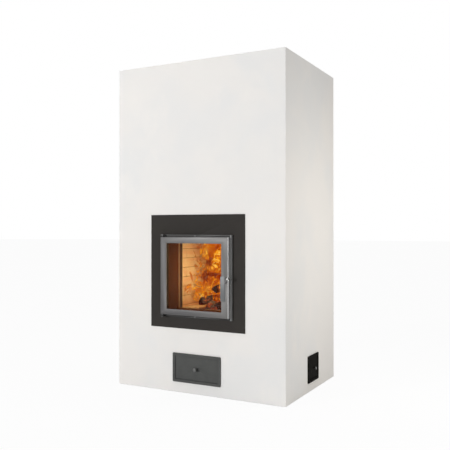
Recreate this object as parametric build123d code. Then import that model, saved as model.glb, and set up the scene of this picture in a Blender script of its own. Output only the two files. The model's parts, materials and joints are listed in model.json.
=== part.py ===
from build123d import *
import os

# A masonry heater: a plastered block shell round a firebrick core, with a glazed fire door,
# an ash drawer below it and a soot hatch low down on each side.
# Sizes are in millimetres. X runs to the right, Y from the front to the back, Z up.
# The origin is the middle of the plastered footprint, on the floor.

# Overall size, over the plaster
overall_width = 1000.0
overall_depth = 723.0
overall_height = 1743.0

# Plaster and the block shell behind it
plaster_thickness = 8.0
plaster_floor_gap = 3.0
plaster_edge_radius = 1.5
shell_thickness = 72.0
base_slab_height = 62.0
top_slab_thickness = 60.0
top_slab_count = 3
course_count = 7
longest_block = 330.0

# Spaces between shell and core, filled with felt
front_felt = 25.0
side_felt = 10.0

# Outer slabs of the core
core_slab = 30.0
core_slab_rows = 5
ceiling_slab_thickness = 60.0
ceiling_slab_count = 3

# Ash chamber and gas manifold under the hearth
ash_chamber_width = 280.0
ash_chamber_depth = 246.0
ash_chamber_height = 256.0
pier_thickness = 50.0
rear_pier_depth = 60.0
rear_pier_spacing = 240.0

# Hearth and firebox
hearth_slab_thickness = 60.0
floor_brick_thickness = 42.0
firebox_width = 430.0
firebox_depth = 270.0
brick_height = 53.0
brick_courses = 11
side_brick_thickness = 50.0
back_brick_thickness = 60.0
brick_bond_share = 0.64

# Throat, upper chamber and heat store above and behind the firebox
throat_thickness = 60.0
throat_slot = 100.0
throat_front_slab = 116.0
upper_block_rows = 3
insulation_height = 114.0
spill_height = 120.0
storage_block_count = 7

# Grate in the hearth
grate_width = 208.0
grate_depth = 180.0
grate_thickness = 22.0
grate_clearance = 1.0
grate_ledge = 15.0
grate_slot_count = 9
grate_slot_width = 9.0
grate_slot_length = 128.0

# Black sheet surround behind the fire door
surround_width = 564.0
surround_bottom = 338.5
surround_top = 936.5
surround_thickness = 3.0

# Fixed frame of the fire door, and the collar that lines the wall behind it
frame_width = 425.0
frame_bottom = 399.0
frame_top = 831.0
frame_thickness = 12.0
frame_side_width = 42.5
frame_bottom_width = 33.0
frame_top_width = 34.0
collar_wall = 5.0
collar_depth = 92.5
collar_clearance = 5.0
collar_hole_clearance = 2.0
collar_seal_width = 17.0
collar_seal_inset = 2.0
jamb_below_collar = 12.0
jamb_above_collar = 3.0

# Door leaf
leaf_margin = 9.5
leaf_bottom_margin = 12.0
leaf_top_margin = 11.5
leaf_thickness = 17.5
leaf_frame_gap = 1.5
leaf_edge_chamfer = 2.5
leaf_back_radius = 8.0
leaf_stile_width = 39.0
leaf_bottom_rail = 30.0
leaf_top_rail = 32.5
leaf_lip = 6.0
glass_tape_thickness = 1.5
glass_thickness = 4.0
glass_overlap = 6.0
glass_clearance = 1.0
retainer_width = 14.0
retainer_thickness = 3.0
retainer_ledge = 9.0
retainer_clearance = 0.5
rope_width = 8.0
rope_thickness = 5.5
rope_inset = 10.0
rope_seat_gap = 0.3
rope_side_gap = 0.5

# Hinge of the door: a lug and a pin above and below the left stile
hinge_from_leaf_edge = 10.0
hinge_from_frame_face = 13.0
hinge_lug_width = 17.0
hinge_lug_projection = 20.0
hinge_lug_gap = 0.8
hinge_pin_radius = 3.5
hinge_pin_reach = 22.0
hinge_pin_end_gap = 1.0
hinge_head_radius = 5.0
hinge_head_height = 2.5
running_clearance = 0.08

# Latch lever, its ball knob, its keeper and the plate beside it
latch_pivot_inset = 12.0
latch_pivot_height = 186.0
latch_hub_radius = 6.5
latch_arm_width = 9.0
latch_arm_thickness = 3.5
latch_lever_gap = 0.4
latch_end_radius = 5.5
latch_hook_reach = 7.5
latch_hook_height = 6.3
latch_tail_inset = 16.0
latch_tail_drop = 7.5
latch_tail_radius = 3.0
spindle_radius = 4.0
spindle_length = 13.5
spindle_end_gap = 0.5
latch_ball_reach = 2.0
latch_ball_rise = 16.0
latch_ball_radius = 6.5
latch_ball_seat = 5.2
latch_ball_neck_radius = 3.5
latch_ball_neck = 1.6
keeper_radius = 2.5
keeper_reach = 5.5
keeper_rise = 8.0
keeper_length = 26.0
keeper_end_chamfer = 0.5
latch_plate_inset = 16.5
latch_plate_width = 27.0
latch_plate_rise = 26.0
latch_plate_height = 126.0
latch_plate_thickness = 2.5
latch_plate_chamfer = 0.8

# Screws
frame_screw_radius = 2.5
frame_screw_head_radius = 3.8
frame_screw_head = 2.2
retainer_screw_radius = 2.0
retainer_screw_head_radius = 3.5
retainer_screw_head = 2.2
retainer_screw_bite = 4.5
retainer_screw_rows = 3
retainer_screw_end = 40.0
screw_hole_clearance = 0.05

# Ash drawer in its frame and tube
ash_frame_width = 287.0
ash_frame_height = 152.0
ash_frame_bottom = 56.5
ash_frame_border = 15.0
plate_proud = 6.0
plate_corner_radius = 5.5
front_recess = 3.0
front_clearance = 0.8
tube_wall = 2.0
ash_hole_side_gap = 5.0
ash_hole_top_gap = 5.0
drawer_front_thickness = 5.0
drawer_side_gap = 3.5
drawer_floor_gap = 0.4
drawer_height = 95.0
drawer_length = 350.0
drawer_wall = 2.0
drawer_knob_head_radius = 9.5
drawer_knob_head = 10.0
drawer_knob_neck_radius = 4.5
drawer_knob_neck = 11.0
knob_stud_radius = 3.0
nut_across_flats = 10.0
nut_height = 5.0

# Soot hatch, the same on both sides
hatch_width = 156.0
hatch_height = 142.0
hatch_bottom = 50.0
hatch_centre_y = 11.3
hatch_border = 14.0
hatch_cover_thickness = 4.0
hatch_plug_gap = 4.0
hatch_plug_length = 60.0
hatch_knob_head_radius = 8.0
hatch_knob_head = 9.0
hatch_knob_neck_radius = 4.0
hatch_knob_neck = 9.0
hatch_stud_length = 22.0
knob_edge_radius = 3.5

# Flue outlet, low in the back wall
flue_inner_radius = 80.0
flue_wall = 3.0
flue_centre_z = 177.0
flue_flange_width = 15.0
flue_flange_thickness = 3.0
flue_seal_thickness = 7.0
flue_seal_recess = 16.0
flue_seal_gap = 0.3
flue_core_clearance = 1.0
flue_block_width = 260.0

# How far a cut runs past the faces that it opens
overshoot = 1.0

# Planes that the pieces share, worked out from the sizes above
front_y = -overall_depth / 2
back_y = overall_depth / 2
side_x = overall_width / 2
shell_outer_x = side_x - plaster_thickness
shell_front_y = front_y + plaster_thickness
shell_back_y = back_y - plaster_thickness
shell_inner_x = shell_outer_x - shell_thickness
shell_inner_front_y = shell_front_y + shell_thickness
shell_inner_back_y = shell_back_y - shell_thickness
shell_top_z = overall_height - plaster_thickness - top_slab_thickness
course_height = (shell_top_z - base_slab_height) / course_count

core_front_y = shell_inner_front_y + front_felt
core_back_y = shell_inner_back_y - side_felt
core_outer_x = shell_inner_x - side_felt
channel_outer_x = core_outer_x - core_slab
firebox_front_y = core_front_y + core_slab
channel_back_y = core_back_y - core_slab

firebox_half = firebox_width / 2
core_block_half = firebox_half + side_brick_thickness
firebox_back_y = firebox_front_y + firebox_depth
brick_back_y = firebox_back_y + back_brick_thickness
hearth_slab_bottom = base_slab_height + ash_chamber_height
hearth_slab_top = hearth_slab_bottom + hearth_slab_thickness
firebox_floor_z = hearth_slab_top + floor_brick_thickness
brick_top_z = hearth_slab_top + brick_height * brick_courses
throat_top_z = brick_top_z + throat_thickness
ceiling_top_z = shell_top_z - insulation_height
ceiling_bottom_z = ceiling_top_z - ceiling_slab_thickness
upper_wall_top_z = ceiling_bottom_z - spill_height
upper_block_height = (upper_wall_top_z - throat_top_z) / upper_block_rows
core_row_height = (ceiling_bottom_z - base_slab_height) / core_slab_rows

frame_back_y = front_y - surround_thickness
frame_face_y = frame_back_y - frame_thickness
leaf_back_y = frame_face_y - leaf_frame_gap
leaf_front_y = leaf_back_y - leaf_thickness
leaf_half = frame_width / 2 - leaf_margin
leaf_bottom = frame_bottom + leaf_bottom_margin
leaf_top = frame_top - leaf_top_margin
hinge_x = -(leaf_half - hinge_from_leaf_edge)
hinge_y = frame_face_y - hinge_from_frame_face
collar_half = frame_width / 2 - frame_side_width
collar_bottom = frame_bottom + frame_bottom_width
collar_top = frame_top - frame_top_width
collar_end_y = front_y + collar_depth
door_hole_half = collar_half + collar_wall + collar_clearance
door_hole_bottom = collar_bottom - collar_wall - collar_clearance
door_hole_top = collar_top + collar_wall + collar_clearance
jamb_bottom = collar_bottom - jamb_below_collar
jamb_top = collar_top + jamb_above_collar

ash_opening_half = ash_frame_width / 2 - ash_frame_border
ash_opening_bottom = ash_frame_bottom + ash_frame_border
ash_opening_top = ash_frame_bottom + ash_frame_height - ash_frame_border
ash_hole_half = ash_opening_half + tube_wall + ash_hole_side_gap
ash_hole_top = ash_opening_top + tube_wall + ash_hole_top_gap
ash_centre_z = ash_frame_bottom + ash_frame_height / 2

hatch_opening_half = hatch_width / 2 - hatch_border
hatch_opening_bottom = hatch_bottom + hatch_border
hatch_opening_top = hatch_bottom + hatch_height - hatch_border
hatch_hole_half = hatch_opening_half + tube_wall
hatch_hole_top = hatch_opening_top + tube_wall
hatch_centre_z = hatch_bottom + hatch_height / 2

leaf_lip_y = leaf_front_y + leaf_lip
glass_front_y = leaf_lip_y + glass_tape_thickness
glass_back_y = glass_front_y + glass_thickness
glass_opening_half = leaf_half - leaf_stile_width
glass_opening_bottom = leaf_bottom + leaf_bottom_rail
glass_opening_top = leaf_top - leaf_top_rail
glass_half = glass_opening_half + glass_overlap
glass_bottom = glass_opening_bottom - glass_overlap
glass_top = glass_opening_top + glass_overlap
rebate_half = glass_half + glass_clearance
rebate_bottom = glass_bottom - glass_clearance
rebate_top = glass_top + glass_clearance
ledge_half = rebate_half + retainer_ledge
rope_outer_half = leaf_half - rope_inset
rope_outer_bottom = leaf_bottom + rope_inset
rope_outer_top = leaf_top - rope_inset
rope_front_y = frame_face_y - rope_seat_gap - rope_thickness

latch_gap_to_leaf = latch_plate_thickness + latch_lever_gap
lever_back_y = leaf_front_y - latch_gap_to_leaf
lever_front_y = lever_back_y - latch_arm_thickness
latch_pivot_x = leaf_half - latch_pivot_inset
latch_pivot_z = leaf_bottom + latch_pivot_height
latch_tail_x = leaf_half - latch_tail_inset
latch_tail_z = latch_pivot_z - latch_tail_drop
latch_ball_x = leaf_half + latch_ball_reach
latch_ball_z = latch_pivot_z + latch_ball_rise
keeper_x = leaf_half + keeper_reach
keeper_z = latch_pivot_z + keeper_rise
latch_plate_right = leaf_half - latch_plate_inset
latch_plate_left = latch_plate_right - latch_plate_width
latch_plate_top = latch_pivot_z + latch_plate_rise
latch_plate_bottom = latch_plate_top - latch_plate_height

drawer_face_y = front_y - plate_proud + front_recess
drawer_plate_back_y = drawer_face_y + drawer_front_thickness
drawer_bottom = ash_opening_bottom + drawer_floor_gap
drawer_half = ash_opening_half - drawer_side_gap

hatch_face_x = side_x + plate_proud - front_recess
hatch_cover_back_x = hatch_face_x - hatch_cover_thickness

flue_outer_radius = flue_inner_radius + flue_wall
flue_hole_radius = flue_outer_radius + flue_seal_thickness
flue_slab_hole_radius = flue_outer_radius + flue_core_clearance


# Building helpers

def block(x_low, x_high, y_low, y_high, z_low, z_high):
    """A square-edged solid between six planes."""
    middle = Pos((x_low + x_high) / 2, (y_low + y_high) / 2, (z_low + z_high) / 2)
    return middle * Box(x_high - x_low, y_high - y_low, z_high - z_low)


def rod_along_y(radius, x, z, y_low, y_high):
    """A round rod that runs from front to back."""
    turn = Rot(90, 0, 0)
    return Pos(x, (y_low + y_high) / 2, z) * turn * Cylinder(radius, y_high - y_low)


def rod_along_z(radius, x, y, z_low, z_high):
    """An upright round rod."""
    return Pos(x, y, (z_low + z_high) / 2) * Cylinder(radius, z_high - z_low)


def outline_block(outline, y_low, y_high):
    """A block behind a (half width, bottom, top) outline."""
    half, bottom, top = outline
    return block(-half, half, y_low, y_high, bottom, top)


def window_ring(outer, inner, y_low, y_high):
    """A flat rectangular ring that faces the front. Outlines are (half width, bottom, top)."""
    return outline_block(outer, y_low, y_high) - outline_block(inner, y_low - overshoot, y_high + overshoot)


def save(name, *pieces):
    """Write the separate solids of one sub-part to its own file."""
    solids = [solid for piece in pieces for solid in piece.solids()]
    shape = solids[0] if len(solids) == 1 else Compound(solids)
    export_step(shape, f"parts/{name}.step")


def wall_block(wall, rectangle, inner, outer):
    """Turn a rectangle (low, high, bottom, top) on a named wall into a solid.

    inner and outer are the distances of the wall's two faces from the origin.
    """
    low, high, bottom, top = rectangle
    if wall == "front":
        return block(low, high, -outer, -inner, bottom, top)
    if wall == "back":
        return block(low, high, inner, outer, bottom, top)
    if wall == "left":
        return block(-outer, -inner, low, high, bottom, top)
    return block(inner, outer, low, high, bottom, top)


def cut_round(rectangle, opening):
    """Rectangles that are left of one rectangle beside, below and above an opening."""
    low, high, bottom, top = rectangle
    hole_low, hole_high, hole_bottom, hole_top = opening
    if hole_top <= bottom or hole_bottom >= top:
        return [rectangle]
    side_bottom = max(bottom, hole_bottom)
    side_top = min(top, hole_top)
    pieces = [(low, hole_low, side_bottom, side_top), (hole_high, high, side_bottom, side_top)]
    if side_bottom > bottom:
        pieces.append((low, high, bottom, side_bottom))
    if side_top < top:
        pieces.append((low, high, side_top, top))
    return pieces


def plain_row(low, high, bottom, top, shifted):
    """A row of blocks in running bond: every other course is shifted by half a block."""
    count = int((high - low) // longest_block) + 1
    step = (high - low) / count
    if shifted:
        joints = [low] + [low + step * (i + 0.5) for i in range(count)] + [high]
    else:
        joints = [low + step * i for i in range(count + 1)]
    return [(start, end, bottom, top) for start, end in zip(joints, joints[1:])]


# Openings in the walls, each (low, high, bottom, top)
ash_hole = (-ash_hole_half, ash_hole_half, base_slab_height, ash_hole_top)
door_hole = (-door_hole_half, door_hole_half, door_hole_bottom, door_hole_top)
jamb_hole = (-collar_half, collar_half, jamb_bottom, jamb_top)
hatch_hole = (
    hatch_centre_y - hatch_hole_half,
    hatch_centre_y + hatch_hole_half,
    base_slab_height,
    hatch_hole_top,
)


def flue_rod(radius, y_low, y_high):
    """A round rod on the axis of the flue outlet."""
    return rod_along_y(radius, 0, flue_centre_z, y_low, y_high)


# Block shell and plaster

def row_pieces(low, high, bottom, top, shifted, openings):
    """A row cut round the openings that it meets, or else in plain running bond."""
    met = [hole for hole in openings if hole[3] > bottom and hole[2] < top]
    if met:
        return cut_round((low, high, bottom, top), met[0])
    return plain_row(low, high, bottom, top, shifted)


def shell_course(number):
    """One ring of blocks. Front and back rows take the corners in every other course."""
    bottom = base_slab_height + course_height * (number - 1)
    top = bottom + course_height
    long_front = number % 2 == 1
    front_end = shell_outer_x if long_front else shell_inner_x
    side_front = shell_inner_front_y if long_front else shell_front_y
    side_back = shell_inner_back_y if long_front else shell_back_y
    pieces = []
    for rectangle in row_pieces(-front_end, front_end, bottom, top, not long_front, [ash_hole, door_hole]):
        pieces.append(wall_block("front", rectangle, -shell_inner_front_y, -shell_front_y))
    for side in ("left", "right"):
        for rectangle in row_pieces(side_front, side_back, bottom, top, long_front, [hatch_hole]):
            pieces.append(wall_block(side, rectangle, shell_inner_x, shell_outer_x))
    if number == 1:
        half = flue_block_width / 2
        back_rectangles = [(-front_end, -half, bottom, top), (half, front_end, bottom, top)]
    else:
        back_rectangles = plain_row(-front_end, front_end, bottom, top, not long_front)
    for rectangle in back_rectangles:
        pieces.append(wall_block("back", rectangle, shell_inner_back_y, shell_back_y))
    return pieces


def flue_block():
    """The block of the first course that the flue outlet passes through."""
    half = flue_block_width / 2
    top = base_slab_height + course_height
    body = block(-half, half, shell_inner_back_y, shell_back_y, base_slab_height, top)
    return body - flue_rod(flue_hole_radius, shell_inner_back_y - overshoot, shell_back_y + overshoot)


def plaster_coat():
    """The plaster skin over the four sides and the top, open at each fitting."""
    outer = block(-side_x, side_x, front_y, back_y, plaster_floor_gap, overall_height)
    corners = outer.edges().filter_by(Axis.Z)
    rim = outer.edges().group_by(Axis.Z)[-1]
    outer = fillet(corners + rim, plaster_edge_radius)
    inner_top = overall_height - plaster_thickness
    coat = outer - block(
        -shell_outer_x, shell_outer_x, shell_front_y, shell_back_y, plaster_floor_gap - overshoot, inner_top
    )
    for hole in (ash_hole, door_hole):
        coat -= wall_block("front", hole, -shell_front_y - overshoot, -front_y + overshoot)
    for side in ("left", "right"):
        coat -= wall_block(side, hatch_hole, shell_outer_x - overshoot, side_x + overshoot)
    return coat - flue_rod(flue_hole_radius, shell_back_y - overshoot, back_y + overshoot)


def slabs_across(half_width, y_low, y_high, z_low, z_high, count):
    """Equal slabs side by side along X."""
    width = 2 * half_width / count
    slabs = []
    for number in range(count):
        left = -half_width + width * number
        slabs.append(block(left, left + width, y_low, y_high, z_low, z_high))
    return slabs


def expansion_felt():
    """Felt sheets on the four sides of the core."""
    bottom = base_slab_height
    top = ceiling_top_z
    front = block(-shell_inner_x, shell_inner_x, shell_inner_front_y, core_front_y, bottom, top)
    seal_outer = collar_half - collar_seal_inset + collar_seal_width
    seal_hole = (
        -seal_outer,
        seal_outer,
        collar_bottom + collar_seal_inset - collar_seal_width,
        collar_top - collar_seal_inset + collar_seal_width,
    )
    for hole in (ash_hole, seal_hole):
        front -= wall_block("front", hole, -core_front_y - overshoot, -shell_inner_front_y + overshoot)
    back = block(-shell_inner_x, shell_inner_x, core_back_y, shell_inner_back_y, bottom, top)
    back -= flue_rod(flue_slab_hole_radius, core_back_y - overshoot, shell_inner_back_y + overshoot)
    sheets = [front, back]
    for side in ("left", "right"):
        sheet = wall_block(side, (core_front_y, core_back_y, bottom, top), core_outer_x, shell_inner_x)
        opening = wall_block(side, hatch_hole, core_outer_x - overshoot, shell_inner_x + overshoot)
        sheets.append(sheet - opening)
    return sheets


# Core: outer slabs

def core_rows():
    """Bottom and top of each row of core slabs."""
    rows = []
    for number in range(core_slab_rows):
        bottom = base_slab_height + core_row_height * number
        rows.append((bottom, bottom + core_row_height))
    return rows


def core_front_wall():
    """Front slabs of the core, with the ash opening and the fire opening."""
    pieces = []
    for bottom, top in core_rows():
        rectangles = [(-core_outer_x, core_outer_x, bottom, top)]
        for hole in (ash_hole, jamb_hole):
            cut = []
            for rectangle in rectangles:
                cut.extend(cut_round(rectangle, hole))
            rectangles = cut
        for rectangle in rectangles:
            pieces.append(wall_block("front", rectangle, -firebox_front_y, -core_front_y))
    return pieces


def core_back_wall():
    """Back slabs of the core; the flue outlet passes through the lowest."""
    pieces = []
    for bottom, top in core_rows():
        pieces.append(block(-core_outer_x, core_outer_x, channel_back_y, core_back_y, bottom, top))
    pieces[0] -= flue_rod(flue_slab_hole_radius, channel_back_y - overshoot, core_back_y + overshoot)
    return pieces


def channel_liner(side):
    """Slabs that line a side channel, open at the soot hatch."""
    pieces = []
    for bottom, top in core_rows():
        for rectangle in cut_round((firebox_front_y, channel_back_y, bottom, top), hatch_hole):
            pieces.append(wall_block(side, rectangle, channel_outer_x, core_outer_x))
    return pieces


# Core: ash chamber, hearth and firebox

def hearth_piers():
    """Walls of the ash chamber and the two piers beside the flue outlet."""
    inner = ash_chamber_width / 2
    outer = inner + pier_thickness
    chamber_back_y = firebox_front_y + ash_chamber_depth
    bottom = base_slab_height
    top = hearth_slab_bottom
    pieces = [block(-outer, outer, chamber_back_y, chamber_back_y + pier_thickness, bottom, top)]
    for low, high in ((-outer, -inner), (inner, outer)):
        pieces.append(block(low, high, firebox_front_y, chamber_back_y, bottom, top))
    pier_inner = rear_pier_spacing / 2
    pier_front_y = channel_back_y - rear_pier_depth
    for low, high in ((-core_block_half, -pier_inner), (pier_inner, core_block_half)):
        pieces.append(block(low, high, pier_front_y, channel_back_y, bottom, top))
    return pieces


def ash_floor_slab():
    """Floor of the ash chamber, level with the floor of the drawer's tube."""
    half = ash_chamber_width / 2
    back = firebox_front_y + ash_chamber_depth
    return block(-half, half, firebox_front_y, back, base_slab_height, ash_opening_bottom)


def slabs_round_grate(half_width, y_low, y_high, z_low, z_high, ledge):
    """Four slabs round the grate's hole. A ledge makes the hole that much smaller."""
    centre_y = (firebox_front_y + firebox_back_y) / 2
    hole_x = grate_width / 2 + grate_clearance - ledge
    hole_y = grate_depth / 2 + grate_clearance - ledge
    return [
        block(-half_width, half_width, y_low, centre_y - hole_y, z_low, z_high),
        block(-half_width, half_width, centre_y + hole_y, y_high, z_low, z_high),
        block(-half_width, -hole_x, centre_y - hole_y, centre_y + hole_y, z_low, z_high),
        block(hole_x, half_width, centre_y - hole_y, centre_y + hole_y, z_low, z_high),
    ]


def brick_wall(wall, low, high, inner, outer):
    """Firebricks in running bond, two to a course."""
    length = high - low
    bricks = []
    for course in range(brick_courses):
        bottom = hearth_slab_top + brick_height * course
        share = brick_bond_share if course % 2 else 1 - brick_bond_share
        joint = low + length * share
        for start, end in ((low, joint), (joint, high)):
            bricks.append(wall_block(wall, (start, end, bottom, bottom + brick_height), inner, outer))
    return bricks


def throat_slabs():
    """Two slabs on the firebox walls that leave a slot for the flames between them."""
    slot_front = firebox_front_y + throat_front_slab
    slot_back = slot_front + throat_slot
    half = core_block_half
    return [
        block(-half, half, firebox_front_y, slot_front, brick_top_z, throat_top_z),
        block(-half, half, slot_back, brick_back_y, brick_top_z, throat_top_z),
    ]


def upper_chamber_walls():
    """Side walls of the upper chamber. The gas spills over their tops into the side channels."""
    pieces = []
    for side in ("left", "right"):
        for row in range(upper_block_rows):
            bottom = throat_top_z + upper_block_height * row
            rectangle = (firebox_front_y, brick_back_y, bottom, bottom + upper_block_height)
            pieces.append(wall_block(side, rectangle, firebox_half, core_block_half))
    return pieces


def storage_blocks():
    """A stack of dense heat-storing blocks behind the firebox and the upper chamber."""
    height = (upper_wall_top_z - hearth_slab_top) / storage_block_count
    pieces = []
    for number in range(storage_block_count):
        bottom = hearth_slab_top + height * number
        pieces.append(
            block(-core_block_half, core_block_half, brick_back_y, channel_back_y, bottom, bottom + height)
        )
    return pieces


def grate():
    """Cast grate that lies on the ledge of the hearth slab."""
    centre_y = (firebox_front_y + firebox_back_y) / 2
    half_x = grate_width / 2
    half_y = grate_depth / 2
    bottom = hearth_slab_top
    body = block(-half_x, half_x, centre_y - half_y, centre_y + half_y, bottom, bottom + grate_thickness)
    pitch = (grate_width - 2 * grate_ledge) / grate_slot_count
    half_slot = grate_slot_length / 2
    for number in range(grate_slot_count):
        x = -half_x + grate_ledge + pitch * (number + 0.5)
        body -= block(
            x - grate_slot_width / 2,
            x + grate_slot_width / 2,
            centre_y - half_slot,
            centre_y + half_slot,
            bottom - overshoot,
            bottom + grate_thickness + overshoot,
        )
    return body


# Fire door: fixed pieces

def screw_places():
    """Middle of the frame's top and bottom margins, where its two screws are."""
    return [(0, (frame_top + leaf_top) / 2), (0, (frame_bottom + leaf_bottom) / 2)]


def surround_plate():
    """Flat sheet on the plaster round the door frame."""
    hole_half = collar_half + collar_wall + collar_hole_clearance
    outer = (surround_width / 2, surround_bottom, surround_top)
    inner = (
        hole_half,
        collar_bottom - collar_wall - collar_hole_clearance,
        collar_top + collar_wall + collar_hole_clearance,
    )
    plate = window_ring(outer, inner, frame_back_y, front_y)
    for x, z in screw_places():
        hole = frame_screw_radius + screw_hole_clearance
        plate -= rod_along_y(hole, x, z, frame_back_y - overshoot, front_y + overshoot)
    return plate


def hinge_lug_limits():
    """Bottom and top of the lower and of the upper hinge lug."""
    return [(frame_bottom, leaf_bottom - hinge_lug_gap), (leaf_top + hinge_lug_gap, frame_top)]


def door_frame():
    """Fixed frame with two hinge lugs and the holes for its screws, pins and keeper."""
    outer = (frame_width / 2, frame_bottom, frame_top)
    inner = (collar_half, collar_bottom, collar_top)
    frame = window_ring(outer, inner, frame_face_y, frame_back_y)
    lug_left = hinge_x - hinge_lug_width / 2
    lug_right = hinge_x + hinge_lug_width / 2
    for bottom, top in hinge_lug_limits():
        frame += block(
            lug_left, lug_right, frame_face_y - hinge_lug_projection, frame_face_y + overshoot, bottom, top
        )
        hole = hinge_pin_radius + running_clearance
        frame -= rod_along_z(hole, hinge_x, hinge_y, bottom - overshoot, top + overshoot)
    for x, z in screw_places():
        hole = frame_screw_radius + screw_hole_clearance
        frame -= rod_along_y(hole, x, z, frame_face_y - overshoot, frame_back_y + overshoot)
    keeper_hole = keeper_radius + screw_hole_clearance
    cut_front = frame_face_y - overshoot
    cut_back = frame_back_y + overshoot
    return frame - rod_along_y(keeper_hole, keeper_x, keeper_z, cut_front, cut_back)


def door_collar():
    """Rectangular collar that lines the wall from the frame to the core."""
    outer = (collar_half + collar_wall, collar_bottom - collar_wall, collar_top + collar_wall)
    inner = (collar_half, collar_bottom, collar_top)
    return window_ring(outer, inner, frame_back_y, collar_end_y)


def collar_seal():
    """Flat seal between the end of the collar and the core."""
    inner_half = collar_half - collar_seal_inset
    inner_bottom = collar_bottom + collar_seal_inset
    inner_top = collar_top - collar_seal_inset
    outer = (
        inner_half + collar_seal_width,
        inner_bottom - collar_seal_width,
        inner_top + collar_seal_width,
    )
    return window_ring(outer, (inner_half, inner_bottom, inner_top), collar_end_y, core_front_y)


def hinge_pins():
    """A headed pin through each lug into the leaf."""
    lower, upper = hinge_lug_limits()
    radius = hinge_pin_radius
    top_pin = rod_along_z(radius, hinge_x, hinge_y, leaf_top - hinge_pin_reach, upper[1])
    top_pin += rod_along_z(hinge_head_radius, hinge_x, hinge_y, upper[1], upper[1] + hinge_head_height)
    bottom_pin = rod_along_z(radius, hinge_x, hinge_y, lower[0], leaf_bottom + hinge_pin_reach)
    bottom_pin += rod_along_z(hinge_head_radius, hinge_x, hinge_y, lower[0] - hinge_head_height, lower[0])
    return [top_pin, bottom_pin]


def latch_keeper():
    """Stud in the frame's right margin that the latch lever drops over."""
    front = frame_face_y - keeper_length
    stud = rod_along_y(keeper_radius, keeper_x, keeper_z, front, frame_back_y)
    return chamfer(stud.edges().group_by(Axis.Y)[0], keeper_end_chamfer)


def frame_screws():
    """Screws that hold the frame to the surround plate."""
    screws = []
    for x, z in screw_places():
        head = rod_along_y(frame_screw_head_radius, x, z, frame_face_y - frame_screw_head, frame_face_y)
        head = fillet(head.edges().group_by(Axis.Y)[0], frame_screw_head / 2)
        screws.append(head + rod_along_y(frame_screw_radius, x, z, frame_face_y, front_y))
    return screws


# Fire door: leaf and what turns with it

def grown(outline, amount):
    """A (half width, bottom, top) outline moved outwards by an amount."""
    half, bottom, top = outline
    return (half + amount, bottom - amount, top + amount)


def retainer_screw_places():
    """Centres of the screws in the two glass retainers."""
    x = rebate_half + retainer_ledge / 2
    low = rebate_bottom + retainer_screw_end
    step = (rebate_top - rebate_bottom - 2 * retainer_screw_end) / (retainer_screw_rows - 1)
    places = []
    for side in (-1, 1):
        for row in range(retainer_screw_rows):
            places.append((side * x, low + step * row))
    return places


def door_leaf():
    """Leaf with its glass opening, rebate, rope groove and bores."""
    leaf = block(-leaf_half, leaf_half, leaf_front_y, leaf_back_y, leaf_bottom, leaf_top)
    leaf = chamfer(leaf.edges().group_by(Axis.Y)[0], leaf_edge_chamfer)
    hinge_edge = leaf.edges().filter_by(Axis.Z).group_by(Axis.X)[0].sort_by(Axis.Y)[-1]
    leaf = fillet(hinge_edge, leaf_back_radius)

    opening = (glass_opening_half, glass_opening_bottom, glass_opening_top)
    leaf -= outline_block(opening, leaf_front_y - overshoot, leaf_back_y + overshoot)
    leaf -= outline_block((rebate_half, rebate_bottom, rebate_top), leaf_lip_y, leaf_back_y + overshoot)
    leaf -= outline_block((ledge_half, rebate_bottom, rebate_top), glass_back_y, leaf_back_y + overshoot)
    rope_outer = (rope_outer_half, rope_outer_bottom, rope_outer_top)
    groove_outer = grown(rope_outer, rope_side_gap)
    groove_inner = grown(rope_outer, -rope_width - rope_side_gap)
    leaf -= window_ring(groove_outer, groove_inner, rope_front_y, leaf_back_y + overshoot)

    bore = hinge_pin_radius + running_clearance
    reach = hinge_pin_reach + hinge_pin_end_gap
    leaf -= rod_along_z(bore, hinge_x, hinge_y, leaf_top - reach, leaf_top + overshoot)
    leaf -= rod_along_z(bore, hinge_x, hinge_y, leaf_bottom - overshoot, leaf_bottom + reach)
    spindle_bore = spindle_radius + running_clearance
    bore_end = leaf_front_y + spindle_length - latch_gap_to_leaf + spindle_end_gap
    leaf -= rod_along_y(spindle_bore, latch_pivot_x, latch_pivot_z, leaf_front_y - overshoot, bore_end)
    screw_bore = retainer_screw_radius + screw_hole_clearance
    for x, z in retainer_screw_places():
        leaf -= rod_along_y(screw_bore, x, z, glass_back_y - retainer_screw_bite, glass_back_y + overshoot)
    return leaf


def glass_tape():
    """Thin seal between the leaf's lip and the glass."""
    inner = (glass_opening_half, glass_opening_bottom, glass_opening_top)
    return window_ring(grown(inner, glass_overlap), inner, leaf_lip_y, glass_front_y)


def glass_retainers():
    """Two upright strips that hold the glass in its rebate."""
    outer = ledge_half - retainer_clearance
    inner = outer - retainer_width
    bottom = rebate_bottom + retainer_clearance
    top = rebate_top - retainer_clearance
    hole = retainer_screw_radius + screw_hole_clearance
    back = glass_back_y + retainer_thickness
    strips = []
    for low, high in ((-outer, -inner), (inner, outer)):
        strip = block(low, high, glass_back_y, back, bottom, top)
        for x, z in retainer_screw_places():
            strip -= rod_along_y(hole, x, z, glass_back_y - overshoot, back + overshoot)
        strips.append(strip)
    return strips


def retainer_screws():
    """Screws of the glass retainers."""
    head_front = glass_back_y + retainer_thickness
    head_back = head_front + retainer_screw_head
    screws = []
    for x, z in retainer_screw_places():
        screw = rod_along_y(retainer_screw_head_radius, x, z, head_front, head_back)
        screw += rod_along_y(retainer_screw_radius, x, z, glass_back_y - retainer_screw_bite, head_front)
        screws.append(screw)
    return screws


def door_rope_seal():
    """Rope seal in the leaf's groove, just clear of the frame."""
    outer = (rope_outer_half, rope_outer_bottom, rope_outer_top)
    return window_ring(outer, grown(outer, -rope_width), rope_front_y, rope_front_y + rope_thickness)


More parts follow.
